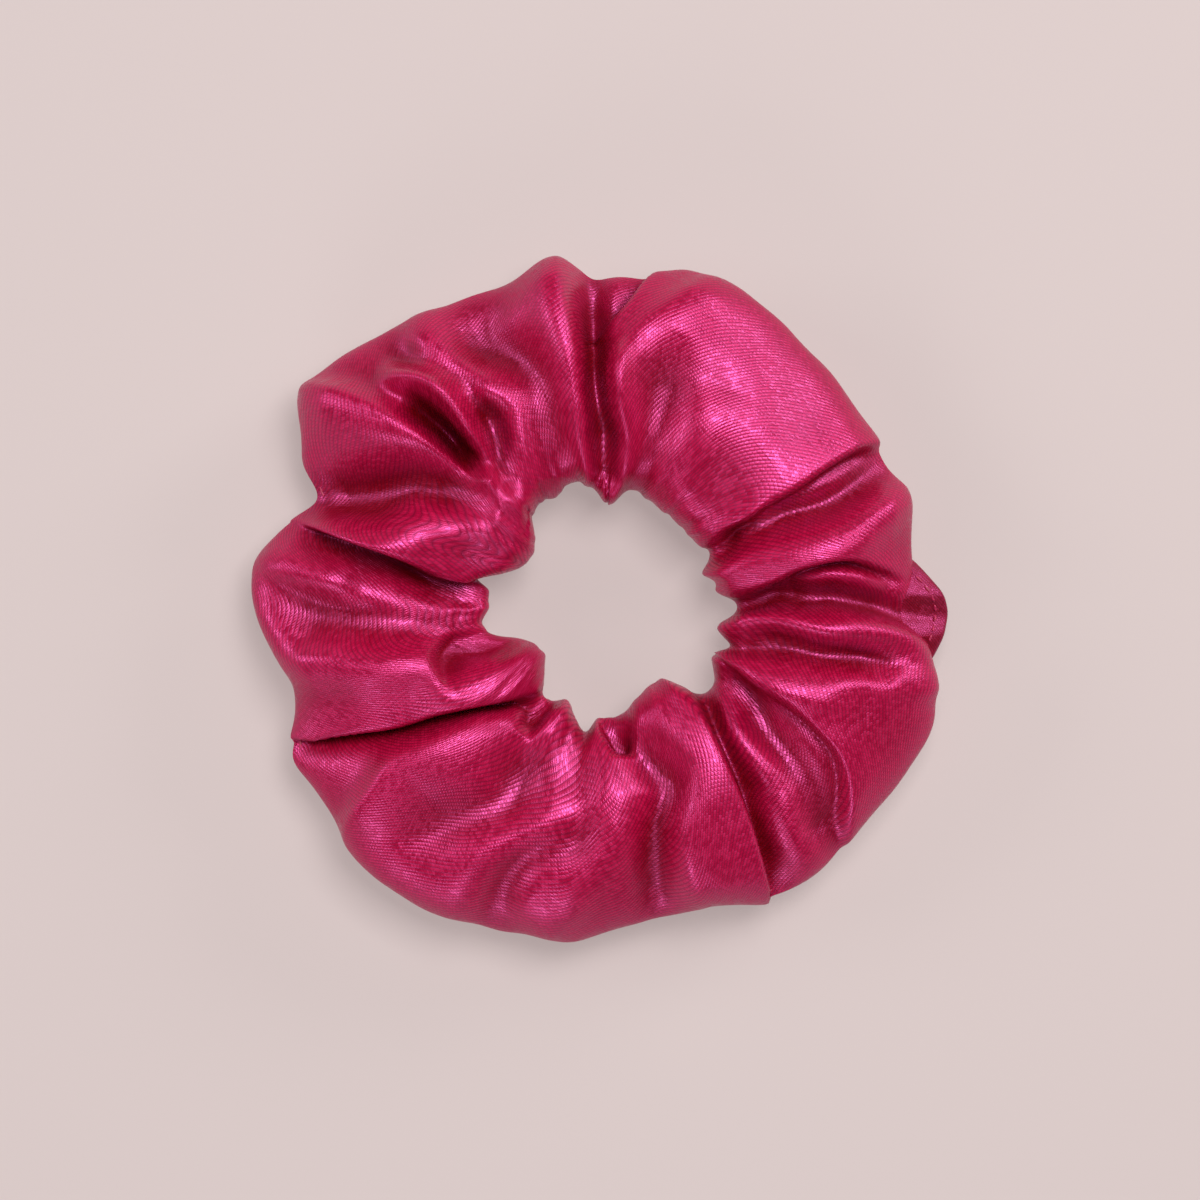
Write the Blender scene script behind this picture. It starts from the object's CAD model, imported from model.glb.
# %% [markdown]
# # A satin scrunchie
# The real thing is a strip of satin, sewn into a tube, pushed together on a flat elastic band and closed into a
# ring. The CAD frame holds the sizes and the way the ring stretches. This script makes what the eye sees: the
# gathered satin with its weave, the seams, the stitches and the band inside. Sizes are in millimetres and angles
# in degrees, unless a value says otherwise.

import math
from typing import NamedTuple

import bpy
import numpy as np
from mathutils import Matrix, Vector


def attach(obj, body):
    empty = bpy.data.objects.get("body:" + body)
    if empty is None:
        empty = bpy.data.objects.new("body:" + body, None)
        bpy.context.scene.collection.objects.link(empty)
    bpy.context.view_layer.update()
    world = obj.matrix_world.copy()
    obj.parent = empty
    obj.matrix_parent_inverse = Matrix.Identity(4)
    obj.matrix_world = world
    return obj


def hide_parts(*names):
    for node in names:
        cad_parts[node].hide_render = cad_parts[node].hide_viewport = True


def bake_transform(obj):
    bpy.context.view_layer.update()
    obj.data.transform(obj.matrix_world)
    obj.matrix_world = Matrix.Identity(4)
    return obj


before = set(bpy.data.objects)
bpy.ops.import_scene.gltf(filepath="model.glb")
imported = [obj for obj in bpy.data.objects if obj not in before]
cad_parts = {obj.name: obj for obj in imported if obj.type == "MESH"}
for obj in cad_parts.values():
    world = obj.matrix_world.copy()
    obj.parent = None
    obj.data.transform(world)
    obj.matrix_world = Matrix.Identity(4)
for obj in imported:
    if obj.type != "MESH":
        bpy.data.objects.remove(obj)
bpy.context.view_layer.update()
MM = 0.001

# %% [markdown]
# ## Camera, floor and light
# The ring lies flat and is seen from straight above, through a long lens from far away, so that nothing leans
# outwards. A plain pale floor and large soft lamps show satin best: each lamp becomes a broad band of gloss along
# the folds.

# %% Camera
VIEW_WIDTH = 192 * MM
CAMERA_HEIGHT = 1.2
RING_HEIGHT = 22 * MM


def add_camera():
    """A camera straight above, whose picture is VIEW_WIDTH wide at half the ring's height."""
    data = bpy.data.cameras.new("camera")
    data.lens = data.sensor_width * (CAMERA_HEIGHT - RING_HEIGHT / 2) / VIEW_WIDTH
    camera = bpy.data.objects.new("camera", data)
    camera.location = (0, 0, CAMERA_HEIGHT)
    bpy.context.scene.collection.objects.link(camera)
    bpy.context.scene.camera = camera


add_camera()

# %% Floor
FLOOR_COLOUR = (0.60, 0.515, 0.505, 1)
# How much of its colour the floor returns from the lamps, and how much it glows by itself.
FLOOR_LIT, FLOOR_GLOW = 0.45, 0.6
# Metres across.
FLOOR_SIZE = 6
FLOOR_BELOW = 0.5 * MM


def new_material(name):
    """A new node material and its Principled shader."""
    material = bpy.data.materials.new(name)
    material.use_nodes = True
    return material, material.node_tree.nodes["Principled BSDF"]


def add_floor():
    bpy.ops.mesh.primitive_plane_add(size=FLOOR_SIZE, location=(0, 0, -FLOOR_BELOW))
    floor = bpy.context.object
    floor.name = "floor"
    material, shader = new_material("pale floor")
    shader.inputs["Base Color"].default_value = [c * FLOOR_LIT for c in FLOOR_COLOUR[:3]] + [1]
    shader.inputs["Emission Color"].default_value = FLOOR_COLOUR
    shader.inputs["Emission Strength"].default_value = FLOOR_GLOW
    shader.inputs["Roughness"].default_value = 0.9
    shader.inputs["Specular IOR Level"].default_value = 0.1
    floor.data.materials.append(material)


add_floor()

# %% Lights
WORLD_COLOUR = (1.0, 0.93, 0.92, 1)
WORLD_STRENGTH, HORIZON_STRENGTH = 0.05, 0.24
# How high up the glow of the horizon has faded: 0 is level and 1 is straight up.
GLOW_TOP = 0.6
LAMP_COLOUR = (1, 0.97, 0.96)
# Each lamp's place and size in metres, and its power in watts. They all face the ring.
SOFTBOXES = {
    "key softbox": ((0.2, 0.3, 1.0), (0.5, 0.5), 11),
    "right softbox": ((0.8, 0.6, 0.45), (0.5, 0.3), 4.5),
    "left softbox": ((-0.85, 0.2, 0.45), (0.5, 0.3), 3),
    "low softbox": ((-0.3, -0.9, 0.45), (0.6, 0.3), 3),
}


def add_softbox(name, place, size, power):
    data = bpy.data.lights.new(name, "AREA")
    data.shape = "RECTANGLE"
    data.size, data.size_y = size
    data.energy = power
    data.color = LAMP_COLOUR
    lamp = bpy.data.objects.new(name, data)
    lamp.location = place
    lamp.rotation_euler = (-Vector(place)).to_track_quat("-Z", "Y").to_euler()
    bpy.context.scene.collection.objects.link(lamp)


def add_world():
    """Pale surroundings that are brightest near the horizon, where a studio's paper sweep stands."""
    world = bpy.data.worlds.new("studio")
    world.use_nodes = True
    nodes, links = world.node_tree.nodes, world.node_tree.links
    direction = nodes.new("ShaderNodeTexCoord")
    height = nodes.new("ShaderNodeSeparateXYZ")
    links.new(direction.outputs["Generated"], height.inputs[0])
    glow = nodes.new("ShaderNodeMapRange")
    glow.interpolation_type = "SMOOTHSTEP"
    glow.inputs["From Max"].default_value = GLOW_TOP
    glow.inputs["To Min"].default_value = HORIZON_STRENGTH
    glow.inputs["To Max"].default_value = WORLD_STRENGTH
    links.new(height.outputs["Z"], glow.inputs["Value"])
    background = nodes["Background"]
    background.inputs["Color"].default_value = WORLD_COLOUR
    links.new(glow.outputs[0], background.inputs["Strength"])
    bpy.context.scene.world = world


add_world()
bpy.context.scene.view_settings.view_transform = "Standard"
for lamp_name, (place, size, power) in SOFTBOXES.items():
    add_softbox(lamp_name, place, size, power)

# %% [markdown]
# ## The outline
# Seen from above, the ring isn't round: full gathers push its edges out and creases pull them in. Its two edges
# are given by a few angles, with the radius that the edge reaches there, and a smooth closed curve goes through
# them.

# %% The ring's two edges
OUTER_EDGE = [
    (2, 50.4), (8, 50.6), (20, 51.8), (35, 50.7), (50, 52.2), (60, 53.6), (75, 54.6), (82, 52.4), (90, 52),
    (97, 54.4), (105, 52.7), (116, 53), (130, 54.9), (137, 57.4), (144, 57.9), (151, 54.2), (156, 53),
    (160, 48.2), (165, 50.8), (173, 55.6), (180, 55.8), (187, 52.8), (195, 50.2), (201, 52.2), (206, 56.4),
    (212, 54.8), (222, 55.4), (232, 56.6), (242, 56.2), (256, 54.8), (265, 55.2), (274, 52.2), (282, 52.4),
    (290, 51), (299, 55.6), (309, 56), (317, 55.4), (326, 55.8), (333, 56.5), (341, 57.3), (348, 53.6),
    (353, 51.6), (357, 50.6),
]
OPENING_EDGE = [
    (0, 20.6), (5, 19), (10, 20.2), (14, 17.2), (19, 18.4), (27, 18.6), (40, 18.1), (60, 17.5), (76, 18.8),
    (82, 16), (88, 15.6), (94, 18.4), (100, 20.2), (112, 18.2), (129, 18.6), (136, 15.6), (145, 14.2),
    (153, 13.8), (159, 14.6), (165, 17.6), (169, 21.2), (174, 17), (182, 16.8), (191, 18.4), (197, 17.2),
    (204, 14), (214, 12.8), (225, 12.9), (233, 14.8), (240, 16.8), (250, 16.8), (258, 19.2), (264, 21.8),
    (270, 17.8), (285, 18), (296, 16.8), (308, 16.4), (313, 19.8), (318, 21.8), (325, 22.4), (333, 20),
    (340, 22.5), (346, 20.3), (353, 21.6),
]
# Height of the ring at a few angles, before the folds.
CROWN = [
    (5, 16.5), (27, 18), (60, 21), (90, 18), (105, 19), (135, 19), (162, 17.5), (180, 18.5), (208, 18.5),
    (230, 20), (262, 18.5), (290, 19.5), (312, 18), (335, 19.5),
]
CURVE_STEP = 0.25


def closed_curve(points, softness):
    """A function of the angle that passes near the given (angle, value) points, rounded at each."""
    fine = np.arange(0, 360, CURVE_STEP)
    angles, values = zip(*sorted(points))
    straight = np.interp(fine, angles, values, period=360)
    away = np.minimum(fine, 360 - fine)
    kernel = np.exp(-0.5 * (away / softness) ** 2)
    rounded = np.real(np.fft.ifft(np.fft.fft(straight) * np.fft.fft(kernel / kernel.sum())))
    return lambda angle: np.interp(angle, fine, rounded, period=360)


outer_edge = closed_curve(OUTER_EDGE, softness=1.6)
opening_edge = closed_curve(OPENING_EDGE, softness=1.2)
crown = closed_curve(CROWN, softness=8)

# %% [markdown]
# ## The folds
# Gathered satin makes folds that run from the tight opening to the slack outer edge. Each one is drawn as a line
# over the ring, from the inside out, the way a tailor would chalk it: points, each with the fold's strength there.
# A ridge is raised, a valley is lowered, and a lap is high on one side and low on the other.

# %% What a fold is
# How a fold falls away beside its crest: 1 is like a tent and 2 is like a bell.
RIDGE_FALL, VALLEY_FALL, LAP_FALL = 1.5, 1.9, 1.5
# How wide the crest is before it falls away.
ROUND, CRISP, VALLEY_FLOOR, LAP_CREST, DEEP_CREASE = 1.6, 0.5, 0.6, 0.3, 0.15


class Fold(NamedTuple):
    """A fold along a line from the opening outwards, with a height and a width on either side of it."""
    line: list
    left: tuple
    right: tuple
    fall: float
    crest: float
    over: float = 0.0


def ridge(line, height, left, right, crest=ROUND):
    return Fold(line, (height, left), (height, right), RIDGE_FALL, crest)


def valley(line, depth, left, right, crest=VALLEY_FLOOR):
    return Fold(line, (-depth, left), (-depth, right), VALLEY_FALL, crest)


def lap(line, left, right, over=0.0):
    """The high side is pushed over the low side, by over."""
    return Fold(line, left, right, LAP_FALL, LAP_CREST, over)

# %% The folds on top, anticlockwise from the closing seam
TOP_FOLDS = {
    "closing seam": lap([(15.5, 7.2, 1), (19.8, 10.7, 1), (23.7, 12.8, 1), (26.4, 15, 1), (32.1, 18.6, 1),
        (36.5, 21.6, 1), (41.3, 24.2, 1), (45.5, 24.6, 1)], (1.5, 9), (-1.6, 4), 0.8),
    "swell in the taut lobe": ridge([(12, 21, 0.6), (14.2, 24.8, 1), (17.2, 29.4, 1), (20, 34, 0)], 0.9,
        3.4, 3.4),
    "dent in the taut lobe": valley([(6.6, 18.9, 1), (7.6, 24, 1), (8.9, 31, 1), (11, 38, 0.5),
        (13, 42, 0)], 1.7, 3, 3.6),
    "shoulder of the taut lobe": ridge([(1.8, 21, 1), (2.8, 31, 1), (3.6, 37.2, 1), (8.2, 42.4, 1),
        (16.2, 48, 0.9), (21, 50.5, 0.7)], 2.2, 2.4, 6),
    "tucked edge of the taut lobe": lap([(0.5, 43.5, 0.3), (4.9, 47, 1), (8.4, 52.5, 1)], (-2.2, 4),
        (0.8, 3), 1),
    "small puff in the deep crease": ridge([(1.4, 26, 0), (1.6, 31, 1), (2.2, 37, 1), (2, 41, 0)], 1.6, 1.6,
        1.6),
    "deep crease at the top": valley([(0.7, 20, 0.8), (0.2, 27.8, 1), (-0.9, 35.7, 1), (-1.4, 44.5, 0.8),
        (-1.3, 52.5, 0.5)], 4.8, 1.7, 2.1, DEEP_CREASE),
    "crest beside the deep crease": ridge([(-2.6, 21, 0.6), (-3, 29.8, 1), (-3.6, 36.2, 1), (-5, 41.3, 1),
        (-7, 46.9, 1), (-7.5, 54, 0.8)], 3.2, 4.5, 2),
    "red valley": valley([(-8, 20, 0.5), (-8.5, 27, 1), (-10.3, 33, 1), (-14.3, 37.6, 1),
        (-18.6, 41.2, 0.9), (-20.5, 48, 0.4)], 2.5, 4.6, 4.6),
    "curl over the red valley": ridge([(-12.4, 18.5, 0.8), (-11.9, 24, 1), (-12.3, 30.4, 1),
        (-15.4, 33.4, 1), (-20.5, 34.5, 1), (-24.8, 36.4, 1), (-27.2, 40.6, 0.8), (-28.7, 46.5, 0.6)], 2.1,
        2.4, 3.4),
    "dimple in the curl": valley([(-15.4, 20, 0.6), (-15.8, 25, 1), (-17.6, 29.2, 0.7), (-19.5, 31, 0)],
        1.5, 1.4, 1.4),
    "furrow over the arch": valley([(-17.6, 23, 0.3), (-19.6, 29.5, 1), (-23, 34.4, 1), (-30, 38.2, 0.6),
        (-37, 42.5, 0)], 1.7, 1.6, 1.9),
    "arch": ridge([(-18.6, 20.5, 0.5), (-20.6, 26.6, 1), (-23.4, 31.2, 1), (-27, 33.8, 1),
        (-31.2, 34.6, 0.8), (-36, 35, 0)], 3.4, 1.5, 2, CRISP),
    "eye under the arch": valley([(-18.6, 20, 0), (-21, 23, 1), (-24.6, 26.8, 1), (-28.2, 29.8, 0.7),
        (-31, 31.4, 0)], 5.6, 1.3, 1.3),
    "long ridge under the eye": ridge([(-12.5, 12.6, 0.7), (-15.8, 16.4, 1), (-20.7, 19.4, 1),
        (-26.2, 22.5, 1), (-30.5, 26, 1), (-35.5, 29.2, 1), (-41.6, 31.4, 1), (-50, 32.5, 0.9)], 3.1, 5.5,
        2),
    "long red valley": valley([(-17, 14.6, 0.3), (-23, 17, 1), (-29.3, 18.4, 1), (-37, 17, 1),
        (-50, 17, 1)], 4.4, 4.2, 4.4),
    "roll beside the lap": ridge([(-13, 9, 0.5), (-19.5, 12.2, 1), (-25, 12, 1), (-31.2, 10.8, 1),
        (-37.3, 11.2, 1), (-42.8, 13.2, 1), (-50, 15, 0.8)], 2, 2.6, 3),
    "lap over the left lobe": lap([(-14.5, 1.8, 0.5), (-17.6, 2.4, 1), (-20.7, 3.4, 1), (-24.4, 4, 1),
        (-31.2, 6.8, 1), (-37.3, 9.2, 1), (-44, 11.4, 0.7), (-49, 12.4, 0.2)], (-4.2, 4.5), (1.2, 4), 1.5),
    "small swell in the left lobe": ridge([(-38, 3.4, 0), (-43, 3.9, 1), (-52, 5.8, 0.8)], 1.3, 2, 2),
    "shallow valley in the left lobe": valley([(-17, -5.2, 0.6), (-25, -5, 1), (-33.4, -3.9, 1),
        (-44.2, -1.9, 1), (-53, 1.2, 0.5)], 1.8, 3.4, 3),
    "crest under the left lobe": ridge([(-9.5, -8, 0.7), (-14.2, -10, 1), (-20.7, -12.4, 1),
        (-25.4, -12.2, 1), (-28.9, -10.2, 1), (-33, -10.1, 1), (-37.3, -10.8, 1), (-42.2, -10, 1),
        (-48.4, -9.8, 1), (-53, -5.2, 0.9), (-56, 0, 0.6)], 2.1, 3.4, 2.6),
    "pocket in the left lobe": valley([(-12, -4.8, 0.5), (-16, -6, 0.8), (-21, -7.4, 0.8),
        (-25.2, -9.8, 0.8), (-27, -11, 0)], 4.2, 1.7, 1.6),
    "big lap": lap([(-8, -13.3, 0.7), (-14.5, -14.3, 1), (-20.7, -15, 1), (-26.9, -16.5, 1),
        (-33, -18.7, 1), (-39.1, -19.9, 1), (-45.3, -21.2, 1), (-52, -23.4, 0.8)], (-5, 3), (-0.8, 3.6),
        2.4),
    "shoulder of the lower lobe": ridge([(-12, -16.5, 0.5), (-22, -20, 0.8), (-29, -23.4, 1),
        (-33, -25.8, 1), (-35.2, -29.4, 1), (-37.6, -33, 1), (-39.2, -36.4, 1), (-38.6, -40.6, 1),
        (-35.8, -44.4, 0.9), (-31, -48, 0.7), (-26, -51, 0.5)], 2.1, 7, 2, CRISP),
    "pocket beside the lower lobe": valley([(-7.5, -14.5, 0.8), (-10, -17.8, 1), (-13, -21.5, 0)], 3, 1.3,
        1.3),
    "pleat beside the pocket": ridge([(-5.8, -16, 1), (-7.6, -19, 1), (-11, -25, 0)], 1.4, 1.7, 1.4),
    "hollow in the lower lobe": valley([(-9.5, -21, 0.3), (-13, -27, 1), (-15.5, -32.5, 1),
        (-24, -35.5, 0.7), (-32, -39, 0)], 1.8, 3.6, 4),
    "first gleam": ridge([(1.5, -25, 0.5), (-3.2, -31.2, 1), (-10.9, -34.6, 1), (-17, -37, 1),
        (-21.5, -40.6, 1), (-25, -45.6, 0.6)], 0.55, 2.4, 2.6),
    "second gleam": ridge([(2.9, -26, 0.6), (-2.2, -33.4, 1), (-10, -37, 1), (-16, -40, 1), (-20, -44, 1),
        (-23, -50, 0.8)], 0.6, 2.2, 2.4),
    "dip between the gleams": valley([(1.4, -34, 0.3), (-4, -38, 1), (-11, -41, 1), (-15, -45, 1),
        (-17, -50, 0.6)], 0.8, 2.4, 2.4),
    "third gleam": ridge([(4.2, -29, 0.5), (0.6, -34.4, 1), (-3.9, -38.4, 1), (-7.6, -42, 1),
        (-10.4, -47.4, 1), (-9, -53, 0.6)], 0.7, 2, 2.4),
    "fourth gleam": ridge([(6.4, -29, 0.5), (3, -36.6, 1), (-0.8, -42.4, 1), (-4.6, -47.6, 1),
        (-7.6, -51.5, 0.5)], 0.7, 2.4, 2),
    "tucked corner": valley([(1.2, -17.6, 1), (3, -21, 1), (3.8, -25, 0)], 4, 1.3, 1.3),
    "valley beside the bottom crest": valley([(4.6, -21, 0.2), (8.4, -26, 1), (10.8, -30.5, 1),
        (9.4, -36.6, 1), (8.8, -43, 0.9), (9, -50, 0.6)], 2.1, 2.4, 3),
    "bottom crest": ridge([(7.2, -15.2, 0.8), (12.4, -20.8, 1), (15.4, -25.2, 1), (16.2, -29, 1),
        (14.8, -33.6, 1), (14.6, -39.4, 1), (16.6, -46, 1), (17.6, -50, 0.7)], 1.9, 5.5, 2.6),
    "lap beside the bottom crest": lap([(14, -13.8, 0.8), (18.1, -22.8, 1), (21.2, -29.8, 1),
        (24.2, -37.8, 1), (27.2, -48, 0.9)], (-3.6, 4.6), (0.6, 4), 1.2),
    "first pleat in the hollow": ridge([(18.4, -11.6, 0.8), (20.4, -16.9, 1), (21.8, -21.4, 1),
        (25.2, -26.5, 0.6), (29, -30, 0)], 1.5, 1.5, 1.3),
    "second pleat in the hollow": ridge([(24.6, -30, 0), (27, -34.4, 1), (30.4, -39, 1), (33.4, -43, 0.7)],
        0.8, 3, 2.4),
    "valley before the right lobe": valley([(21.2, -13, 0.6), (25.4, -19.6, 1), (29.6, -24.6, 1),
        (33, -29.4, 0.8), (35, -36, 0.5)], 1.9, 2.6, 2.6),
    "edge of the right lobe": lap([(19.4, -9, 0.6), (24.8, -13.4, 1), (30.4, -16.9, 1), (34.7, -20.8, 1),
        (37.8, -24.8, 1), (39.2, -30.4, 1), (39.2, -40, 1)], (0.9, 6), (-1.3, 3.6), 0.5),
    "lowest right pleat": ridge([(19.5, -8, 1), (25, -11.6, 1), (30, -13.6, 1), (36, -15, 0.8),
        (42, -16, 0)], 1.2, 2, 1.8),
    "hollow under the right fold": valley([(22, -6.6, 1), (28.6, -6.6, 1), (36.5, -8.4, 1), (42.5, -9.8, 1),
        (47, -12, 0)], 2.1, 1.5, 2),
    "low right gleam": ridge([(35, -11, 0), (41.5, -11.6, 1), (46, -12.6, 1), (51, -13, 0.8)], 1, 1.6, 2),
    "right fold": ridge([(20.4, -4.2, 1), (27.9, -3.2, 1), (35.3, -4.6, 1), (41, -4.2, 1), (47, -5, 1),
        (50.7, -8, 1), (53, -12.6, 0.8)], 2.2, 2, 2.6, 0.9),
    "hollow over the right fold": valley([(19.6, -0.4, 0.7), (27, 0.2, 0.8), (34, 0.4, 1), (38, 0.4, 1),
        (46, -1.6, 0.8), (52, -4, 0.6)], 3.6, 1.7, 1.6),
    "gleam in the hollow": ridge([(30, 1.9, 0), (35, 3.2, 1), (41, 2.8, 1), (46, 1, 0)], 1.4, 1.5, 1.5),
    "lap over the hollow": lap([(18.6, -0.4, 0.7), (21.9, 0.8, 1), (28.6, 3.6, 1), (32.1, 5.4, 1),
        (38.7, 6.6, 1), (44.5, 5, 0.6), (49, 3, 0)], (1.3, 3.5), (-1.9, 2.6), 1),
    "upper right crest": ridge([(18.4, 3.8, 1), (25.4, 7.4, 1), (32.5, 9.2, 1), (38.7, 10.2, 1),
        (43.4, 13, 1), (50, 17.4, 0.8)], 2.2, 2.4, 2.8),
    "dip under the closing seam": valley([(19, 8.6, 1), (23, 10.4, 1), (30, 12.8, 1), (38, 16, 1),
        (46, 21, 0.6)], 1.9, 1.9, 2),
    "pucker at the closing seam": ridge([(19.8, 9.8, 0.5), (22.2, 11.2, 1), (25.4, 13.2, 1), (28, 15, 0)],
        1, 0.8, 0.9),
}
print(len(TOP_FOLDS), "folds are drawn by hand")

# %% [markdown]
# ## From a line to a fold
# A line through the chalk points is smooth, so it is resampled with a spline. For each point of the cloth the
# nearest place on the line gives how far away it is, on which side, and how strong the fold is there.

# %% The shape of one fold
SPLINE_STEPS = 10
MOST_STRENGTH = 1.2
# A fold reaches this many times its width.
FOLD_REACH = 3
# How sharp the step is between the two sides of a lap.
LAP_EDGE = 0.5
# Heights in the list of folds are multiplied by this.
DEPTH = 1.6


def spline(points):
    """A Catmull-Rom spline through the points."""
    p = np.array(points, float)
    p = np.vstack([2 * p[0] - p[1], p, 2 * p[-1] - p[-2]])
    t = np.linspace(0, 1, SPLINE_STEPS, endpoint=False)[:, None]
    parts = []
    for a, b, c, d in zip(p, p[1:], p[2:], p[3:]):
        bend, twist = (2 * a - 5 * b + 4 * c - d) * t**2, (3 * b - a - 3 * c + d) * t**3
        parts.append(0.5 * (2 * b + (c - a) * t + bend + twist))
    return np.vstack(parts + [p[-2:-1]])


def near_line(xy, line):
    """For each point: its distance to the line (positive on the left), the strength there, and which way is left."""
    curve = spline(line)
    run = np.diff(curve[:, :2], axis=0)
    length2 = np.maximum((run**2).sum(1), 1e-9)
    best = np.full(len(xy), np.inf)
    side, strength = np.zeros(len(xy)), np.zeros(len(xy))
    left = np.zeros((len(xy), 2))
    for k, step in enumerate(run):
        t = np.clip(((xy - curve[k, :2]) @ step) / length2[k], 0, 1)
        away = xy - (curve[k, :2] + t[:, None] * step)
        distance = np.hypot(away[:, 0], away[:, 1])
        closer = distance < best
        normal = np.array([-step[1], step[0]]) / math.sqrt(length2[k])
        best[closer] = distance[closer]
        side[closer] = (away[closer] @ normal >= 0) * 2.0 - 1
        strength[closer] = curve[k, 2] + t[closer] * (curve[k + 1, 2] - curve[k, 2])
        left[closer] = normal
    return best * side, np.clip(strength, 0, MOST_STRENGTH), left


def profile(distance, width, fold):
    """A fold's height across it: a rounded crest that falls away on both sides."""
    return np.exp(-((np.hypot(distance, fold.crest) - fold.crest) / width) ** fold.fall)


def fold_shape(xy, fold):
    """How far the fold raises each point of the cloth, and how far it pushes it sideways."""
    reach = FOLD_REACH * max(fold.left[1], fold.right[1])
    line = np.array(fold.line)
    inside = ((xy > line[:, :2].min(0) - reach) & (xy < line[:, :2].max(0) + reach)).all(1)
    rise, push = np.zeros(len(xy)), np.zeros((len(xy), 2))
    if not inside.any():
        return rise, push
    d, strength, left = near_line(xy[inside], fold.line)
    on_left = fold.left[0] * profile(d, fold.left[1], fold)
    on_right = fold.right[0] * profile(d, fold.right[1], fold)
    mix = 0.5 + 0.5 * np.tanh(d / LAP_EDGE)
    rise[inside] = strength * (on_right + (on_left - on_right) * mix) * DEPTH
    high_is_left = fold.left[0] > fold.right[0]
    width = fold.left[1] if high_is_left else fold.right[1]
    high = mix if high_is_left else 1 - mix
    towards = -1 if high_is_left else 1
    push[inside] = (towards * strength * fold.over * high * np.exp(-(d / width) ** 2))[:, None] * left
    return rise, push

# %% [markdown]
# ## The tube
# The tube is a grid: columns go round the ring and rows go round the tube. Without folds it is a soft flattened
# section. The folds then move each point along the outside direction of the tube, and they die down where the
# cloth lies on the table. The band pushes up many small gathers round the opening, and the side that lies on the
# table has loose folds of its own.

# %% The tube's section
# How square the section is on its inner and outer half: 2 is an ellipse.
INNER_SQUARENESS, OUTER_SQUARENESS = 2.3, 1.7
# How far the section would reach below the table if it weren't pressed flat there.
SUNK = 1.2


def section(angle, row):
    """The plain tube's radius and height, and the direction away from its inside."""
    inner, outer, height = opening_edge(angle), outer_edge(angle), crown(angle)
    a = 2 * math.pi * row
    power = 2 / np.where(np.cos(a) > 0, INNER_SQUARENESS, OUTER_SQUARENESS)
    across = -np.sign(np.cos(a)) * np.abs(np.cos(a)) ** power
    up = np.sign(np.sin(a)) * np.abs(np.sin(a)) ** power
    radius = (inner + outer) / 2 + (outer - inner) / 2 * across
    z = (height - SUNK) / 2 + (height + SUNK) / 2 * up
    direction = np.stack([across / (outer - inner), up / (height + SUNK)], 1)
    direction /= np.linalg.norm(direction, axis=1)[:, None]
    return radius, z, direction

# %% The small gathers and the loose folds
GATHER_HEIGHT, GATHER_RADIUS, GATHER_FADE = 0.2, 18.5, 4.5
LOOSE_HEIGHT = 0.55


def small_gathers(angle, radius):
    """The small gathers at the band: 41, 67 and 23 of them go round, and wander. They fade towards the outside."""
    t = np.radians(angle)
    wander = 2.2 * np.sin(3 * t + 0.7) + 1.3 * np.sin(5 * t + 2.1) + 0.08 * (radius - 18)
    wave = np.sin(41 * t + wander * 2) + 0.6 * np.sin(67 * t + 3 * wander + 1.3) + 0.5 * np.sin(23 * t - wander)
    return GATHER_HEIGHT * wave * np.exp(-((radius - GATHER_RADIUS) / GATHER_FADE) ** 2)


def loose_folds(angle, row):
    """The folds of the outer wall and of the side that lies on the table: 17 and 29 of them go round."""
    t = np.radians(angle)
    drift = 0.9 * np.sin(2 * math.pi * row * 2 + 3 * t)
    slow = np.sin(17 * t + 2.1 * np.sin(3 * t) + drift)
    wave = slow + 0.7 * np.sin(29 * t + 1.7 * np.sin(4 * t + 1) - 1.4 * drift)
    return LOOSE_HEIGHT * wave

# %% The gathered tube
TABLE = 0.3
SOFT_TABLE = 0.7
# The band stands on edge inside, so no valley sinks below its top until it is this far from the opening's edge.
BAND_TOP, BAND_REACH, BAND_FADE = 10.6, 12, 5
# The share of a fold's height that is left below the middle of the tube.
SHARE_BELOW = 0.2
# How soon above the middle of the tube a fold has its whole height, and a lap its whole push.
TOP_SPREAD, PUSH_SPREAD = 1.6, 2
LOOSE_BELOW = 0.3


def never_below(z, floor):
    """Heights that are lifted softly where they come near the floor or go below it."""
    return floor + SOFT_TABLE * np.logaddexp(0, (z - floor) / SOFT_TABLE)


def gathered(angle, row):
    """Points of the gathered tube."""
    radius, z, direction = section(angle, row)
    t = np.radians(angle)
    out = np.stack([np.cos(t), np.sin(t)], 1)
    xy = out * radius[:, None]
    rise, push = np.zeros(len(xy)), np.zeros((len(xy), 2))
    for fold in TOP_FOLDS.values():
        up, sideways = fold_shape(xy, fold)
        rise += up
        push += sideways
    rise += small_gathers(angle, radius)
    height = np.sin(2 * math.pi * row)
    top = np.clip(height * TOP_SPREAD, 0, 1)
    rise *= np.where(height > 0, SHARE_BELOW + (1 - SHARE_BELOW) * top, SHARE_BELOW)
    rise += loose_folds(angle, row) * np.clip(LOOSE_BELOW - height, 0, 1)
    push *= np.clip(height * PUSH_SPREAD, 0, 1)[:, None]
    radius = radius + rise * direction[:, 0]
    z = z + rise * direction[:, 1]
    by_band = np.clip((opening_edge(angle) + BAND_REACH - radius) / BAND_FADE, 0, 1) * top
    z += by_band * (never_below(z, BAND_TOP) - z)
    return np.column_stack([out * radius[:, None] + push, never_below(z, TABLE)])

# %% [markdown]
# ## The cloth's grid
# A grid of quads that closes on itself both ways. One column every half degree and one row every half millimetre
# keep the crisp edges crisp.

# %% A closed grid
COLUMNS, ROWS = 720, 216


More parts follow.
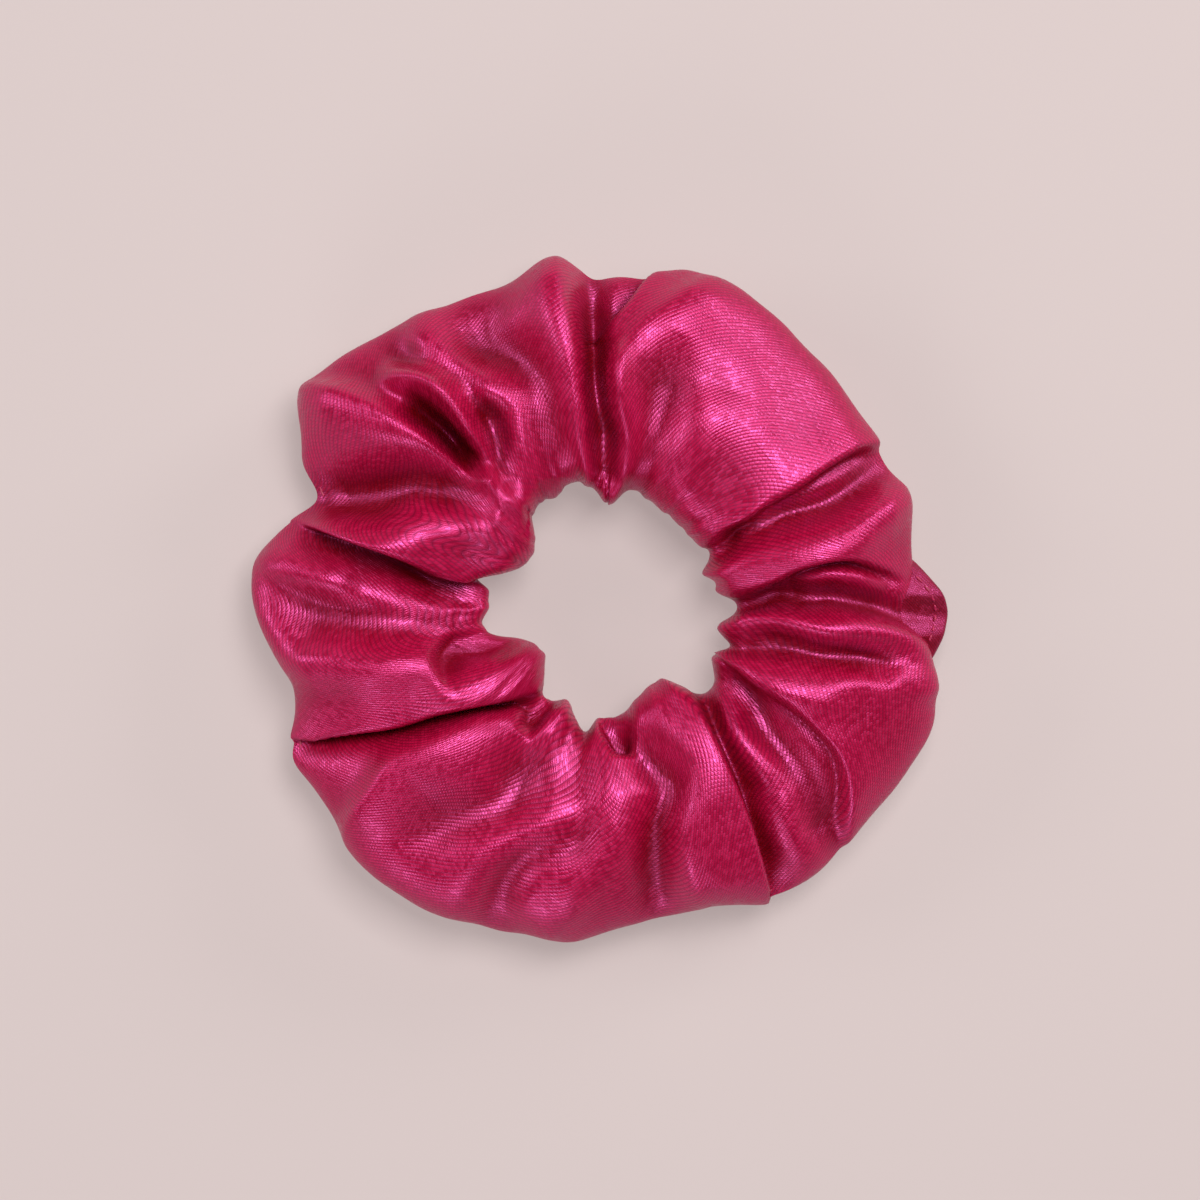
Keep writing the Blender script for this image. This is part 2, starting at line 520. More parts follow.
def grid(columns, rows):
    """The angle in degrees and the row, from 0 to 1, of every point of a closed grid, and its quads."""
    c, r = np.meshgrid(np.arange(columns), np.arange(rows), indexing="ij")
    angle = (c * 360 / columns).ravel().astype(float)
    row = (r / rows).ravel()
    here = c * rows + r
    right = ((c + 1) % columns) * rows + r
    corner = ((c + 1) % columns) * rows + (r + 1) % rows
    up = c * rows + (r + 1) % rows
    return angle, row, np.stack([here, up, corner, right], -1).reshape(-1, 4)


angle, row, quads = grid(COLUMNS, ROWS)
cover_points = gathered(angle, row)
print(len(cover_points), "points of satin")

# %% Normals and hollows
# How hollow flat cloth counts as, and how far below its surroundings cloth has to lie to count one more.
HOLLOW_FLAT, HOLLOW_FULL = 0.32, 1.8
# Surroundings reach one part in this many of the way round the ring.
HOLLOW_PARTS = 80


def vertex_normals(points, quads):
    """Smooth normals of a mesh, so that parts cut from it shade as one cloth."""
    diagonals = points[quads[:, 2]] - points[quads[:, 0]], points[quads[:, 3]] - points[quads[:, 1]]
    face = np.cross(*diagonals)
    normals = np.zeros_like(points)
    for corner in range(4):
        for axis in range(3):
            normals[:, axis] += np.bincount(quads[:, corner], face[:, axis], len(points))
    return normals / np.maximum(np.linalg.norm(normals, axis=1), 1e-12)[:, None]


def blurred(values, columns, rows, reach):
    """Values of a grid, averaged over a neighbourhood. The grid closes on itself both ways."""
    smooth = values.reshape(columns, rows, -1)
    for axis in (0, 1, 0, 1):
        smooth = sum(np.roll(smooth, k, axis) for k in range(-reach, reach + 1)) / (2 * reach + 1)
    return smooth.reshape(len(values), -1)


def hollows(points, columns, rows, quads):
    """How hollow the cloth is at each point, from 0 on ridges to 1 in deep valleys."""
    reach = round(columns / HOLLOW_PARTS)
    normals = blurred(vertex_normals(points, quads), columns, rows, reach // 3)
    below = ((blurred(points, columns, rows, reach) - points) * normals).sum(1)
    return np.clip(HOLLOW_FLAT + below / HOLLOW_FULL, 0, 1)

# %% [markdown]
# ## Let it settle as cloth
# The drawn shape is too tidy. A coarser copy of it is simulated as cloth that is a little larger than the space it
# has and has some air inside, so it puffs and wrinkles between its creases. The creases are held more firmly than
# the lobes, and the wall of the opening and the outermost edge are held still. What the simulation moved is then
# added to the fine shape.

# %% Settle the cloth
COARSER = 3
# The copy is this many times as large, because Cloth works best on large things.
SIM_SCALE = 10
SIM_FRAMES = 24
SPARE_CLOTH = 0.012
MOST_MOVED = 3.0
# How firmly a lobe is held, how much firmer a deep hollow is, and how hollow it has to be for that.
HELD_LOBE, HELD_HOLLOW, HELD_FROM = 0.08, 0.5, 0.3
# Rows whose cosine is larger than this, on either side, are held still.
HELD_SIDES = 0.8
MOVE_BLUR = 2


def cloth_copy(points, quads, weights):
    """An object with Cloth on it, ready to run."""
    mesh = bpy.data.meshes.new("settling")
    mesh.from_pydata((points * MM * SIM_SCALE).tolist(), [], quads.tolist())
    copy = bpy.data.objects.new("settling", mesh)
    bpy.context.scene.collection.objects.link(copy)
    held = copy.vertex_groups.new(name="held")
    for level in np.unique(weights):
        held.add(np.flatnonzero(weights == level).tolist(), float(level), "REPLACE")
    cloth = copy.modifiers.new("Cloth", "CLOTH")
    settings = cloth.settings
    settings.quality = 6
    settings.mass = 0.15
    settings.tension_stiffness = settings.compression_stiffness = 25
    settings.shear_stiffness = 8
    settings.bending_stiffness = 12
    settings.tension_damping = settings.compression_damping = settings.shear_damping = 8
    settings.bending_damping = 2
    settings.air_damping = 3
    settings.vertex_group_mass = "held"
    settings.pin_stiffness = 1.2
    settings.shrink_min = -SPARE_CLOTH
    settings.use_pressure = True
    settings.uniform_pressure_force = 0.1
    settings.effector_weights.gravity = 0
    cloth.collision_settings.use_collision = False
    cloth.collision_settings.use_self_collision = True
    cloth.collision_settings.self_distance_min = 0.5 * MM * SIM_SCALE
    cloth.point_cache.frame_end = SIM_FRAMES
    return copy


def finer(field, columns, rows, times):
    """A field on the closed grid, drawn smoothly through a grid that many times finer."""
    waves = np.fft.fftshift(np.fft.fft2(field.reshape(columns, rows, 3), axes=(0, 1)), axes=(0, 1))
    more = (columns * (times - 1) // 2, rows * (times - 1) // 2)
    waves = np.pad(waves, ((more[0], more[0]), (more[1], more[1]), (0, 0)))
    fine = np.fft.ifft2(np.fft.ifftshift(waves, axes=(0, 1)), axes=(0, 1)).real * times**2
    return fine.reshape(-1, 3)


def settle():
    """How far settling moves each point of the fine cloth."""
    columns, rows = COLUMNS // COARSER, ROWS // COARSER
    angle, row, quads = grid(columns, rows)
    start = gathered(angle, row)
    hollow = hollows(start, columns, rows, quads)
    weights = np.round(HELD_LOBE + HELD_HOLLOW * np.clip(hollow - HELD_FROM, 0, 1), 2)
    weights = np.where(np.abs(np.cos(2 * math.pi * row)) > HELD_SIDES, 1.0, weights)
    copy = cloth_copy(start, quads, weights)
    for frame_number in range(1, SIM_FRAMES + 1):
        bpy.context.scene.frame_set(frame_number)
    settled = copy.evaluated_get(bpy.context.evaluated_depsgraph_get())
    moved = np.empty(len(start) * 3)
    settled.data.vertices.foreach_get("co", moved)
    moved = moved.reshape(-1, 3) / MM / SIM_SCALE - start
    bpy.data.objects.remove(copy)
    bpy.context.scene.frame_set(1)
    length = np.linalg.norm(moved, axis=1)
    print("settling moved the satin", round(length.mean(), 2), "mm, and", round(length.max(), 1), "at most")
    moved *= np.minimum(1, MOST_MOVED / np.maximum(length, 1e-6))[:, None]
    return finer(blurred(moved, columns, rows, MOVE_BLUR), columns, rows, COARSER)


cover_points = cover_points + settle()
cover_points[:, 2] = np.maximum(cover_points[:, 2], TABLE / 2)

# %% [markdown]
# ## The weave's direction
# A satin's floats step sideways from thread to thread, which shows as fine diagonal ribs. Two numbers are stored
# on every corner of the mesh, counting ribs and floats. Both count evenly along the cloth, so the ribs keep the
# same spacing of about half a millimetre from the opening to the outer edge. They part only at the long seam, as
# on the real strip.

# %% Count the ribs and floats
RIB_SPACING = 0.52
# Inside this radius the ribs lean least, and outside it they lean more and more.
RIB_RADIUS = 28
# The square of the least lean.
LEAST_LEAN = 0.12
SEAM_ROW = ROWS // 2


def thread_counts():
    """Ribs and floats counted at the corners of the grid, from the long seam once round the tube."""
    c, r = np.meshgrid(np.arange(COLUMNS + 1), np.arange(ROWS + 1) + SEAM_ROW, indexing="ij")
    turn = 2 * math.pi * c / COLUMNS
    radius, z, _ = section((c * 360 / COLUMNS).ravel(), ((r % ROWS) / ROWS).ravel())
    radius, z = radius.reshape(c.shape), z.reshape(c.shape)
    step = np.hypot(np.diff(radius, axis=1), np.diff(z, axis=1))
    middle = (radius[:, 1:] + radius[:, :-1]) / 2
    lean = np.sqrt(np.maximum(1 - (RIB_RADIUS / middle) ** 2, LEAST_LEAN))
    across = np.concatenate([np.zeros((COLUMNS + 1, 1)), np.cumsum(step * lean, axis=1)], axis=1)
    drift = 1.6 * np.sin(3 * turn + 0.03 * across) + 0.8 * np.sin(5 * turn + 1 - 0.04 * across)
    closing = round(2 * math.pi * RIB_RADIUS / RIB_SPACING) * c / COLUMNS
    ribs = closing + (across + drift) / RIB_SPACING
    floats = -closing + (across - drift) / RIB_SPACING
    return np.stack([ribs, floats], -1)


def corner_counts(counts):
    """The counts of each quad's four corners, in the order of the grid's quads."""
    quad_counts = np.stack([counts[:-1, :-1], counts[:-1, 1:], counts[1:, 1:], counts[1:, :-1]], 2)
    return np.roll(quad_counts, SEAM_ROW, axis=1).reshape(-1, 4, 2)


cover_threads = corner_counts(thread_counts())

# %% [markdown]
# ## Cloth that stretches open
# The ring is pulled open along X, in four steps that share the motion. A piece of cloth can't jump from one body
# to the next, so each soft piece is cut into six where the bodies part. The outer two ride on one body each, and
# the four in the middle stretch from one body to the next. Their edges meet however far the ring is pulled open.

# %% Cut a soft piece into its six parts
# Farther out than any point of the ring.
FAR = 1000
# Each part's name, where along X it starts and ends, and the bodies at its two ends.
CUTS = [
    ("left", -FAR, -18, "left", "left"), ("inner_left", -18, -9, "left", "inner_left"),
    ("middle_left", -9, 0, "inner_left", "middle"), ("middle_right", 0, 9, "middle", "inner_right"),
    ("inner_right", 9, 18, "inner_right", "right"), ("right", 18, FAR, "right", "right"),
]


def part_mesh(name, points, quads, chosen, normals, threads, hollow):
    """A mesh of the chosen quads, with the whole piece's normals, thread counts and hollows."""
    used, local = np.unique(quads[chosen], return_inverse=True)
    mesh = bpy.data.meshes.new(name)
    mesh.from_pydata((points[used] * MM).tolist(), [], local.reshape(-1, 4).tolist())
    mesh.shade_smooth()
    if threads is not None:
        layer = mesh.uv_layers.new(name="threads")
        layer.data.foreach_set("uv", threads[chosen].ravel())
    if hollow is not None:
        mesh.attributes.new("hollow", "FLOAT", "POINT").data.foreach_set("value", hollow[used])
    mesh.normals_split_custom_set_from_vertices(normals[used].tolist())
    return mesh


def soft_piece(name, points, quads, material, slot, threads=None, hollow=None):
    """Cuts a soft piece where the bodies part, and hangs each part on its bodies. Returns the parts by cut."""
    normals = vertex_normals(points, quads)
    middle = points[quads, 0].mean(1)
    parts = {}
    for cut, low, high, body, next_body in CUTS:
        chosen = (middle >= low) & (middle < high)
        if not chosen.any():
            continue
        mesh = part_mesh(f"{name} {cut}", points, quads, chosen, normals, threads, hollow)
        part = bpy.data.objects.new(f"{name}_{cut}", mesh)
        bpy.context.scene.collection.objects.link(part)
        part.data.materials.append(material)
        if body == next_body:
            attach(part, body)
        else:
            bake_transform(part)
        parts[cut] = part
    return parts


def stands_for(parts, node):
    """Every part of a piece replaces the same CAD node."""
    for part in parts.values():
        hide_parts(node)

# %% [markdown]
# ## Materials
# Satin is mostly floats: threads that lie on top of several others, side by side, like fine polished rods. Each
# float catches the light a little differently, which makes the sparkle. The weave is a node group that turns the
# thread counts into a height, a rib mask and a random number for each float.

# %% Node helpers
FLOAT, VECTOR = "NodeSocketFloat", "NodeSocketVector"


def add_node(tree, kind, settings=None, **inputs):
    """A new node. Inputs are values or sockets, and underscores in their names stand for spaces."""
    made = tree.nodes.new(kind)
    for key, value in (settings or {}).items():
        setattr(made, key, value)
    for key, value in inputs.items():
        connect(tree, value, made.inputs[key.replace("_", " ")])
    return made


def connect(tree, value, socket):
    """Links a socket or sets a plain value."""
    if isinstance(value, bpy.types.NodeSocket):
        tree.links.new(value, socket)
    else:
        socket.default_value = value


def calc(tree, operation, *values):
    """The output of a math node."""
    made = tree.nodes.new("ShaderNodeMath")
    made.operation = operation
    for value, socket in zip(values, made.inputs):
        connect(tree, value, socket)
    return made.outputs[0]


def mix_colour(tree, factor, a, b, blend="MIX"):
    made = tree.nodes.new("ShaderNodeMix")
    made.data_type, made.blend_type = "RGBA", blend
    for value, socket in zip((factor, a, b), (made.inputs[0], made.inputs[6], made.inputs[7])):
        connect(tree, value, socket)
    return made.outputs[2]


def shaded(tree, colour, shade):
    """A colour multiplied by a plain number."""
    grey = add_node(tree, "ShaderNodeCombineColor", Red=shade, Green=shade, Blue=shade)
    return mix_colour(tree, 1.0, colour, grey.outputs[0], "MULTIPLY")


def add_bump(tree, shader, height, distance):
    bump = add_node(tree, "ShaderNodeBump", Height=height, Distance=distance)
    connect(tree, bump.outputs[0], shader.inputs["Normal"])


def new_group(name, inputs, outputs):
    """An empty node group with named sockets. Returns the tree, its input sockets and its output node."""
    tree = bpy.data.node_groups.new(name, "ShaderNodeTree")
    for socket, kind in inputs.items():
        tree.interface.new_socket(name=socket, in_out="INPUT", socket_type=kind)
    for socket, kind in outputs.items():
        tree.interface.new_socket(name=socket, in_out="OUTPUT", socket_type=kind)
    return tree, tree.nodes.new("NodeGroupInput").outputs, tree.nodes.new("NodeGroupOutput")

# %% The satin weave
# How far along its length each float starts after the one beside it.
FLOAT_STEP = 0.38
# How much lower a float is at its ends, and how much of its height is left to chance.
FLOAT_BOW, FLOAT_CHANCE = 0.65, 0.5


def weave_group():
    """Turns thread counts into a height, a mask of the ribs and a random number for each float."""
    outputs = {"Height": FLOAT, "Rib": FLOAT, "Glint": FLOAT}
    tree, given, end = new_group("satin weave", {"Threads": VECTOR}, outputs)
    count = add_node(tree, "ShaderNodeSeparateXYZ", Vector=given["Threads"]).outputs
    rib_number = calc(tree, "FLOOR", count["X"])
    place = calc(tree, "ADD", count["Y"], calc(tree, "MULTIPLY", rib_number, FLOAT_STEP))
    across = calc(tree, "MULTIPLY_ADD", calc(tree, "FRACT", count["X"]), 2.0, -1.0)
    along = calc(tree, "MULTIPLY_ADD", calc(tree, "FRACT", place), 2.0, -1.0)
    rib = calc(tree, "SUBTRACT", 1.0, calc(tree, "MULTIPLY", across, across))
    bow = calc(tree, "SUBTRACT", 1.0, calc(tree, "POWER", calc(tree, "ABSOLUTE", along), 3.0))
    cell = add_node(tree, "ShaderNodeCombineXYZ", X=rib_number, Y=calc(tree, "FLOOR", place))
    random = add_node(tree, "ShaderNodeTexWhiteNoise", {"noise_dimensions": "2D"}, Vector=cell.outputs[0])
    lift = calc(tree, "MULTIPLY_ADD", random.outputs["Value"], FLOAT_CHANCE, 1 - FLOAT_CHANCE)
    shape = calc(tree, "MULTIPLY", rib, calc(tree, "MULTIPLY_ADD", bow, FLOAT_BOW, 1 - FLOAT_BOW))
    tree.links.new(calc(tree, "MULTIPLY", shape, lift), end.inputs["Height"])
    tree.links.new(shape, end.inputs["Rib"])
    tree.links.new(random.outputs["Value"], end.inputs["Glint"])
    return tree


weave = weave_group()

# %% Satin
SATIN_BRIGHT = (0.3, 0.002, 0.03, 1)
SATIN_DEEP = (0.15, 0.0001, 0.001, 1)
SATIN_GLOSS = (1, 0.15, 0.52, 1)
WEAVE_DEPTH = 0.046 * MM
# The colour's share between ribs, and how much is added on a rib. The same for the dullest and the brightest float.
GAP_SHADE, RIB_SHADE = 0.6, 0.9
DULL_FLOAT, BRIGHT_FLOAT = 0.88, 0.24
# Roughness of the cloth, and what a float, a rib and a deep hollow add to it.
SATIN_ROUGH, FLOAT_ROUGH, RIB_ROUGH, HOLLOW_ROUGH = 0.32, 0.2, -0.08, 0.08


def woven(name):
    """A woven satin. Its hollows are deeper in colour, because light bounces between the folds there."""
    material, shader = new_material(name)
    tree = material.node_tree
    threads = add_node(tree, "ShaderNodeUVMap", {"uv_map": "threads"})
    cloth = add_node(tree, "ShaderNodeGroup", {"node_tree": weave}, Threads=threads.outputs["UV"]).outputs
    hollow = add_node(tree, "ShaderNodeAttribute", {"attribute_name": "hollow"}).outputs["Fac"]
    base = mix_colour(tree, hollow, SATIN_BRIGHT, SATIN_DEEP)
    gap = calc(tree, "MULTIPLY_ADD", cloth["Rib"], RIB_SHADE, GAP_SHADE)
    spark = calc(tree, "MULTIPLY", gap, calc(tree, "MULTIPLY_ADD", cloth["Glint"], BRIGHT_FLOAT, DULL_FLOAT))
    connect(tree, shaded(tree, base, spark), shader.inputs["Base Color"])
    polish = calc(tree, "MULTIPLY_ADD", cloth["Glint"], FLOAT_ROUGH, SATIN_ROUGH)
    dull = calc(tree, "MULTIPLY", calc(tree, "MULTIPLY", hollow, hollow), HOLLOW_ROUGH)
    rough = calc(tree, "ADD", dull, calc(tree, "MULTIPLY_ADD", cloth["Rib"], RIB_ROUGH, polish))
    connect(tree, rough, shader.inputs["Roughness"])
    add_bump(tree, shader, cloth["Height"], WEAVE_DEPTH)
    shader.inputs["IOR"].default_value = 2.4
    shader.inputs["Specular Tint"].default_value = SATIN_GLOSS
    shader.inputs["Anisotropic"].default_value = 0.3
    return material


satin = woven("satin")

# %% Thread
THREAD_TWIST = 900
TWIST_DEPTH = 0.03 * MM


def twisted(name, colour, roughness):
    """Sewing thread, with the fine diagonal line of its twist."""
    material, shader = new_material(name)
    tree = material.node_tree
    place = add_node(tree, "ShaderNodeTexCoord").outputs["Object"]
    wave = add_node(tree, "ShaderNodeTexWave", {"bands_direction": "DIAGONAL"}, Vector=place, Scale=THREAD_TWIST)
    shade = add_node(tree, "ShaderNodeMapRange", Value=wave.outputs["Fac"], To_Min=0.75, To_Max=1.1)
    connect(tree, shaded(tree, colour, shade.outputs[0]), shader.inputs["Base Color"])
    add_bump(tree, shader, wave.outputs["Fac"], TWIST_DEPTH)
    shader.inputs["Roughness"].default_value = roughness
    return material


thread = twisted("magenta thread", (0.42, 0.012, 0.075, 1), 0.5)
white_thread = twisted("white thread", (0.8, 0.78, 0.74, 1), 0.7)

# %% Elastic
STRAND_DEPTH = 0.2 * MM
# The colour's share between the strands.
STRAND_GAP = 0.72


def braided(name, colour):
    """Braided elastic: plump diagonal strands that cross, in both directions."""
    material, shader = new_material(name)
    tree = material.node_tree
    count = add_node(tree, "ShaderNodeUVMap", {"uv_map": "threads"}).outputs["UV"]
    place = add_node(tree, "ShaderNodeSeparateXYZ", Vector=count).outputs
    one, two = [calc(tree, "SINE", calc(tree, "MULTIPLY", calc(tree, way, place["X"], place["Y"]), 2 * math.pi))
                for way in ("ADD", "SUBTRACT")]
    height = calc(tree, "MULTIPLY_ADD", calc(tree, "MAXIMUM", one, two), 0.5, 0.5)
    gap_colour = [c * STRAND_GAP for c in colour[:3]] + [1]
    connect(tree, mix_colour(tree, height, gap_colour, colour), shader.inputs["Base Color"])
    add_bump(tree, shader, height, STRAND_DEPTH)
    shader.inputs["Roughness"].default_value = 0.75
    return material


elastic = braided("white elastic", (0.82, 0.80, 0.75, 1))

# %% [markdown]
# ## The satin cover
# The strip of satin is one piece of cloth. Its hollows are found by comparing each point with its neighbourhood:
# where the cloth lies below the average round it, the colour gets deeper.

# %% Hang the satin
# The sewn strip's length and width in metres, laid flat.
# The CAD's numbered stretches that each part stands for.
GATHERS_OF_CUT = {
    "left": (6, 7, 8), "inner_left": (5, 9), "middle_left": (4,), "middle_right": (10,), "inner_right": (3, 11),
    "right": (12, 1, 2),
}


cover_hollow = hollows(cover_points, COLUMNS, ROWS, quads)
cover = soft_piece("satin_cover", cover_points, quads, satin, "satin", cover_threads, cover_hollow)
for cut, part in cover.items():
    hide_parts(*[f"satin_gather_{n:02d}" for n in GATHERS_OF_CUT[cut]])
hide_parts("cross_seam_fold")

# %% [markdown]
# ## The band inside
# A flat braided elastic draws the opening in. It runs inside the tube, close to the wall of the opening, and its
# ends are lapped and tacked. It takes the smoothest way round that stays inside the satin.

# %% The elastic's way round
BAND_HEIGHT, BAND_THICK = 7, 1
# How high the band's middle is where nothing presses it down, and how near the table its lower edge may come.
BAND_MIDDLE, BAND_OVER_TABLE = 10, 2
BAND_ROOM = 0.7
ROOF_ROOM = 1
# Rows of the wall of the opening have a cosine of more than this, above and below the middle of the tube.
WALL_ABOVE, WALL_BELOW = 0.88, 0.5
# On either side, the wall is looked at over the first number of columns. The roof is looked at, and both are
# averaged, over the second.
LOOK, AVERAGE = 10, 12
PASSES = 3


def ring_average(values, reach):
    return sum(np.roll(values, k) for k in range(-reach, reach + 1)) / (2 * reach + 1)


def smooth_ring(values):
    return ring_average(ring_average(values, AVERAGE), AVERAGE)


def band_path():
    """The band's inner radius and its middle height at each column of the cover."""
    points = cover_points.reshape(COLUMNS, ROWS, 3)
    radius = np.hypot(points[..., 0], points[..., 1])
    a = 2 * math.pi * np.arange(ROWS) / ROWS
    inner_wall = (np.cos(a) > WALL_ABOVE) | ((np.sin(a) < 0) & (np.cos(a) > WALL_BELOW))
    middle = np.full(COLUMNS, float(BAND_MIDDLE))
    for _ in range(PASSES):
        near = (np.abs(points[..., 2] - middle[:, None]) < BAND_HEIGHT / 2 + 0.5) & inner_wall
        wall = np.where(near, radius, 0).max(1)
        inner = smooth_ring(np.max([np.roll(wall, k) for k in range(-LOOK, LOOK + 1)], axis=0)) + BAND_ROOM
        over = (np.abs(radius - inner[:, None] - BAND_THICK / 2) < 2 * BAND_THICK) & (np.sin(a) > 0)
        roof = np.where(over, points[..., 2], BAND_MIDDLE * 3).min(1)
        roof = np.min([np.roll(roof, k) for k in range(-AVERAGE, AVERAGE + 1)], axis=0)
        middle = np.minimum(BAND_MIDDLE, smooth_ring(roof) - BAND_HEIGHT / 2 - ROOF_ROOM)
        middle = np.maximum(middle, BAND_HEIGHT / 2 + BAND_OVER_TABLE)
    return inner, middle


band_radius, band_middle = band_path()
print("the band lies", round(band_radius.min(), 1), "to", round(band_radius.max(), 1), "mm from the middle,",
      round(band_middle.min(), 1), "to", round(band_middle.max(), 1), "mm up")

# %% Ribbons
RIBBON_CORNERS = 20
# How square a ribbon's section is: 1 is an ellipse and 0 is a rectangle.
RIBBON_ROUND = 0.35


def ribbon(path_angle, path_radius, height, thick, middle, closed, flat=False):
    """A ribbon with rounded edges, on edge or lying flat, along a path round the ring. Also its thread counts."""
    corners, steps = RIBBON_CORNERS, len(path_angle)
    a = 2 * math.pi * np.arange(corners) / corners
    tall = np.sign(np.sin(a)) * np.abs(np.sin(a)) ** RIBBON_ROUND * height / 2
    wide = np.sign(np.cos(a)) * np.abs(np.cos(a)) ** RIBBON_ROUND * thick / 2
    if flat:
        tall, wide = -wide, tall
    t = np.radians(path_angle)[:, None]
    radius = path_radius[:, None] + wide[None]
    z = np.broadcast_to(np.reshape(middle, (-1, 1)) + tall[None], radius.shape)
    points = np.stack([radius * np.cos(t), radius * np.sin(t), z], -1).reshape(-1, 3)
    c, r = np.meshgrid(np.arange(steps if closed else steps - 1), np.arange(corners), indexing="ij")
    after, above = (c + 1) % steps, (r + 1) % corners
    faces = np.stack([c * corners + r, after * corners + r, after * corners + above, c * corners + above], -1)
    along = np.radians(path_angle) * path_radius.mean()
    girth = np.concatenate([[0], np.cumsum(np.hypot(np.diff(tall), np.diff(wide)))])
    x = along[c], np.where(c + 1 < steps, along[after], 2 * math.pi * path_radius.mean())
    y = girth[r], np.where(r + 1 < corners, girth[above], girth[-1])
    run = np.stack([np.stack([x[i], y[j]], -1) for i, j in ((0, 0), (1, 0), (1, 1), (0, 1))], 2)
    return points, faces.reshape(-1, 4), run.reshape(-1, 4, 2)

# %% The band
# Width of one strand of the braid.
BRAID = 2.2
column_angle = np.arange(COLUMNS) * 360 / COLUMNS
points, faces, run = ribbon(
    column_angle, band_radius + BAND_THICK / 2, BAND_HEIGHT, BAND_THICK, band_middle, True)
band = soft_piece("elastic_band", points, faces, elastic, "elastic", run / BRAID)
for cut, part in band.items():
    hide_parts(*[f"elastic_band_{n:02d}" for n in GATHERS_OF_CUT[cut]])

# %% The lap
LAP_FROM, LAP_TO = 22, 40
LAP_ROOM = 0.05
in_lap = (column_angle >= LAP_FROM) & (column_angle <= LAP_TO)
lap_angle, lap_middle = column_angle[in_lap], band_middle[in_lap]
lap_radius = band_radius[in_lap] + BAND_THICK + LAP_ROOM
points, faces, run = ribbon(lap_angle, lap_radius + BAND_THICK / 2, BAND_HEIGHT, BAND_THICK, lap_middle, False)
stands_for(soft_piece("elastic_lap", points, faces, elastic, "elastic", run / BRAID), "elastic_lap")

# %% Stitches
STITCH_RINGS, STITCH_SIDES = 7, 8
THREAD_THICK = 0.4


def thread_run(ends, thick=THREAD_THICK):
    """Round stitches as one mesh: a plump capsule from each start to each end."""
    rings, sides = STITCH_RINGS, STITCH_SIDES
    a = 2 * math.pi * np.arange(sides) / sides
    along = np.linspace(0, 1, rings)
    plump = np.sqrt(np.maximum(1 - (2 * along - 1) ** 6, 0.02)) * thick / 2
    all_points, all_faces = [], []
    for start, end in ends:
        start, end = np.array(start, float), np.array(end, float)
        run = (end - start) / np.linalg.norm(end - start)
        side = np.cross(run, (0, 0, 1) if abs(run[2]) < 0.9 else (1, 0, 0))
        side /= np.linalg.norm(side)
        other = np.cross(run, side)
        circle = np.cos(a)[:, None] * side + np.sin(a)[:, None] * other
        body = (start + along[:, None] * (end - start))[:, None] + plump[:, None, None] * circle[None]
        base = len(all_points) * rings * sides
        all_points.append(body.reshape(-1, 3))
        c, r = np.meshgrid(np.arange(rings - 1), np.arange(sides), indexing="ij")
        after = (r + 1) % sides
        quad = np.stack([c * sides + r, c * sides + after, (c + 1) * sides + after, (c + 1) * sides + r], -1)
        all_faces.append(quad.reshape(-1, 4) + base)
    return np.vstack(all_points), np.vstack(all_faces)


def round_place(angle, radius, z):
    """A point at an angle round the ring."""
    return np.array([radius * math.cos(math.radians(angle)), radius * math.sin(math.radians(angle)), z])

# %% The lap's two bar tacks
# Where each tack is, in from the end of the lap, and how far apart its stitches are, both in degrees.
TACK_IN, TACK_PITCH = 3.5, 1.3
TACK_STITCHES = 5
TACK_HALF = 2.5
tacks = []
for middle in (LAP_FROM + TACK_IN, LAP_TO - TACK_IN):
    for k in range(TACK_STITCHES):
        at = middle + (k - TACK_STITCHES // 2) * TACK_PITCH
        radius = np.interp(at, lap_angle, lap_radius) + BAND_THICK + THREAD_THICK / 2
        up = np.interp(at, lap_angle, lap_middle)
        tacks.append((round_place(at, radius, up - TACK_HALF), round_place(at, radius, up + TACK_HALF)))
stands_for(soft_piece("elastic_tacks", *thread_run(tacks), white_thread, "elastic_thread"), "elastic_join_stitches")

# %% [markdown]
# ## The long seam
# The strip's long edges are sewn right sides together and turned in, so the seam's allowance lies inside the tube
# behind the outer wall, with the row of lockstitches along it.

# %% The allowance and its stitches
ALLOWANCE, ALLOWANCE_THICK, ALLOWANCE_ROOM = 6, 0.6, 0.3
ALLOWANCE_HOLLOW = 0.5
# Lockstitches round the ring, and how much of its pitch each one fills.
SEAM_STITCHES, STITCH_SHARE = 130, 0.75
# How far the stitches lie in from the outer wall, and above the allowance's middle.
STITCH_IN, STITCH_UP = 1.3, 0.5
seam_line = cover_points.reshape(COLUMNS, ROWS, 3)[:, SEAM_ROW]
seam_radius, seam_height = np.hypot(seam_line[:, 0], seam_line[:, 1]), seam_line[:, 2]
points, faces, run = ribbon(
    column_angle, ring_average(seam_radius, 2) - ALLOWANCE / 2 - ALLOWANCE_ROOM, ALLOWANCE, ALLOWANCE_THICK,
    ring_average(seam_height, 2), True, flat=True)
allowance = soft_piece("seam_allowance", points, faces, satin, "satin", run / RIB_SPACING,
                       np.full(len(points), ALLOWANCE_HOLLOW))


def by_the_seam(column):
    """Where a lockstitch starts or ends, at a place counted in columns."""
    radius, height = [np.interp(column, range(COLUMNS), line) for line in (seam_radius, seam_height)]
    return round_place(column * 360 / COLUMNS, radius - STITCH_IN, height + STITCH_UP)


stitch_ends = [[by_the_seam(s * COLUMNS / SEAM_STITCHES) for s in (k, k + STITCH_SHARE)]
               for k in range(SEAM_STITCHES)]
seam_stitches = soft_piece("long_seam_stitches", *thread_run(stitch_ends), thread, "thread")
for cut in GATHERS_OF_CUT:
    side = "middle" if cut.startswith("middle") else cut
    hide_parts(f"long_seam_allowance_{side}")
    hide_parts(f"long_seam_stitches_{side}")

